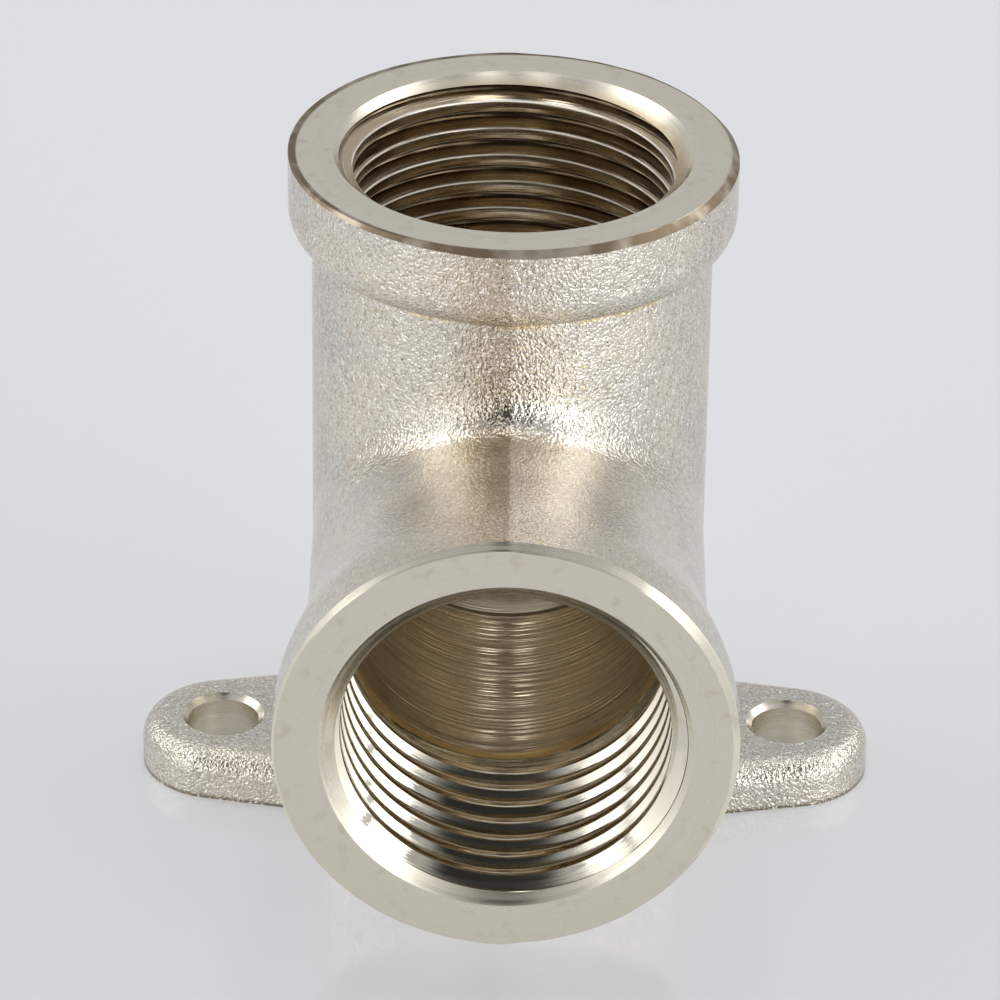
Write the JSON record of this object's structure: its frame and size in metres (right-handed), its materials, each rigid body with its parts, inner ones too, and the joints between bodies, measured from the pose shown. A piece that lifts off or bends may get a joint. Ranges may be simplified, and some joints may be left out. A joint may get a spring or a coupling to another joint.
{
  "type": "wall plate elbow",
  "caption": "Nickel-plated brass wall plate elbow: a threaded outlet socket at right angles to a threaded inlet socket, each with a collar, and screw ears at the wall face.",
  "frame": {"origin": "on the wall plane, midway between the ear holes, where the outlet axis meets it", "axes": "+Z out of the wall along the outlet socket, -Y out of the inlet socket, X along the line of the ear holes"},
  "size_m": [0.0454, 0.0418, 0.0428],
  "materials": {
    "nickel_plate": "nickel plate over forged brass, blasted satin outside, machined at the rims and in the sockets"
  },
  "bodies": {
    "root": {"elbow_body": "nickel_plate"}
  },
  "joints": []
}
